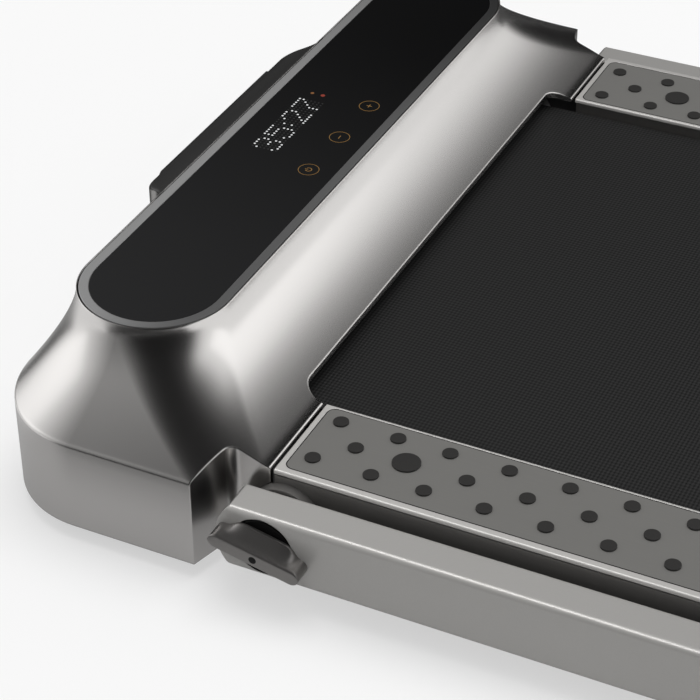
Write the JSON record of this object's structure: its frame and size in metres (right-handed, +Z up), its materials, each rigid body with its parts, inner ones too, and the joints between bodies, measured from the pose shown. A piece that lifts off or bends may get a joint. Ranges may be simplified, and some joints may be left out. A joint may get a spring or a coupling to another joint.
{
  "type": "walking pad",
  "caption": "Low motor-driven walking pad with a running belt between dotted foot rails, a flared hood with a touch console, and a handrail that folds down round the deck.",
  "frame": {"origin": "on the floor, under the middle of the pad's overall length and width", "axes": "+X to the walker's right, +Y along the belt to the hood, +Z up"},
  "size_m": [0.682, 1.34, 0.136],
  "materials": {
    "satin_hood": "satin nickel-grey paint on moulded plastic",
    "satin_rail": "satin nickel grey, edges rounded by hand",
    "rim_metal": "fine matt grey",
    "dark_glass": "black-backed clear cover, gloss",
    "circuit_board": "board with lamps",
    "black_rubber": "matt",
    "black_plastic": "fine grain",
    "black_steel": "black powder coat",
    "brushed_tread": "brushed along the rail",
    "deck_wood": "faced board",
    "belt_rubber": "fine diagonal texture",
    "bright_steel": "turned",
    "pulley_metal": "machined",
    "satin_arm": "satin anodised",
    "knob_grey": "satin",
    "grip_foam": "foam",
    "wheel_tyre": "hard rubber"
  },
  "bodies": {
    "base": {"arm_rests": "black_plastic", "belly_pan": "black_plastic", "console_glass": "dark_glass", "console_rim": "rim_metal", "controller_box": "black_plastic", "cross_members": "black_steel", "deck_board": "deck_wood", "deck_cushions": "black_rubber", "display_board": "circuit_board", "drive_belt": "belt_rubber", "front_feet": "black_rubber", "front_plate_left": "black_steel", "front_plate_right": "black_steel", "grip_dots_left": "black_rubber", "grip_dots_right": "black_rubber", "heat_sink": "pulley_metal", "hinge_bracket_left": "black_steel", "hinge_bracket_right": "black_steel", "hood_shell": "satin_hood", "motor_can": "black_steel", "motor_cradle": "black_plastic", "pivot_pin_left": "bright_steel", "pivot_pin_right": "bright_steel", "power_inlet": "black_plastic", "rail_cover_left": "satin_rail", "rail_cover_right": "satin_rail", "rear_axle": "bright_steel", "rear_feet": "black_rubber", "roller_bearings": "bright_steel", "running_belt": "belt_rubber", "side_rail_left": "black_steel", "side_rail_right": "black_steel", "socket_panel": "black_plastic", "stand_pad": "black_rubber", "tail_cap_left": "black_plastic", "tail_cap_right": "black_plastic", "tread_plate_left": "brushed_tread", "tread_plate_right": "brushed_tread", "wheel_axles": "bright_steel", "wheel_brackets": "black_steel"},
    "handrail": {"arm_left": "satin_arm", "arm_right": "satin_arm", "arm_hub_left": "black_plastic", "arm_hub_right": "black_plastic", "elbow_left": "satin_arm", "elbow_right": "satin_arm", "crossbar": "satin_arm", "foam_grip": "grip_foam"},
    "lock_knob_left": {"lock_knob_left": "knob_grey"},
    "lock_knob_right": {"lock_knob_right": "knob_grey"},
    "drive_roller": {"front_roller": "bright_steel", "front_roller_shaft": "bright_steel", "roller_pulley": "pulley_metal"},
    "idle_roller": {"rear_roller": "bright_steel"},
    "motor_rotor": {"motor_shaft": "bright_steel", "motor_pulley": "pulley_metal"},
    "wheel_left": {"wheel_left": "wheel_tyre"},
    "wheel_right": {"wheel_right": "wheel_tyre"},
    "switch_rocker": {"switch_rocker": "black_plastic"}
  },
  "joints": [
    {"name": "handrail_fold", "type": "hinge", "parent": "base", "child": "handrail", "pos_m": [0, 0.462, 0.045], "axis": [-1, 0, 0], "range_deg": [0, 90]},
    {"name": "lock_knob_left_turn", "type": "hinge", "parent": "handrail", "child": "lock_knob_left", "pos_m": [-0.3275, 0.462, 0.045], "axis": [-1, 0, 0], "range_deg": [0, 90]},
    {"name": "lock_knob_right_turn", "type": "hinge", "parent": "handrail", "child": "lock_knob_right", "pos_m": [0.3275, 0.462, 0.045], "axis": [-1, 0, 0], "range_deg": [0, 90]},
    {"name": "drive_roller_spin", "type": "hinge", "parent": "base", "child": "drive_roller", "pos_m": [0, 0.516, 0.0457], "axis": [1, 0, 0], "continuous": true},
    {"name": "idle_roller_spin", "type": "hinge", "parent": "base", "child": "idle_roller", "pos_m": [0, -0.5798, 0.0457], "axis": [1, 0, 0], "continuous": true},
    {"name": "motor_spin", "type": "hinge", "parent": "base", "child": "motor_rotor", "pos_m": [-0.14, 0.60315, 0.062], "axis": [1, 0, 0], "continuous": true},
    {"name": "wheel_left_spin", "type": "hinge", "parent": "base", "child": "wheel_left", "pos_m": [-0.2625, 0.638, 0.025], "axis": [1, 0, 0], "continuous": true},
    {"name": "wheel_right_spin", "type": "hinge", "parent": "base", "child": "wheel_right", "pos_m": [0.2625, 0.638, 0.025], "axis": [1, 0, 0], "continuous": true},
    {"name": "power_switch", "type": "hinge", "parent": "base", "child": "switch_rocker", "pos_m": [0.102, 0.658, 0.04525], "axis": [1, 0, 0], "range_deg": [0, 14]}
  ],
  "couplings": [
    {"joint": "idle_roller_spin", "follows": "drive_roller_spin", "ratio": 1},
    {"joint": "motor_spin", "follows": "drive_roller_spin", "ratio": 2.4545}
  ]
}
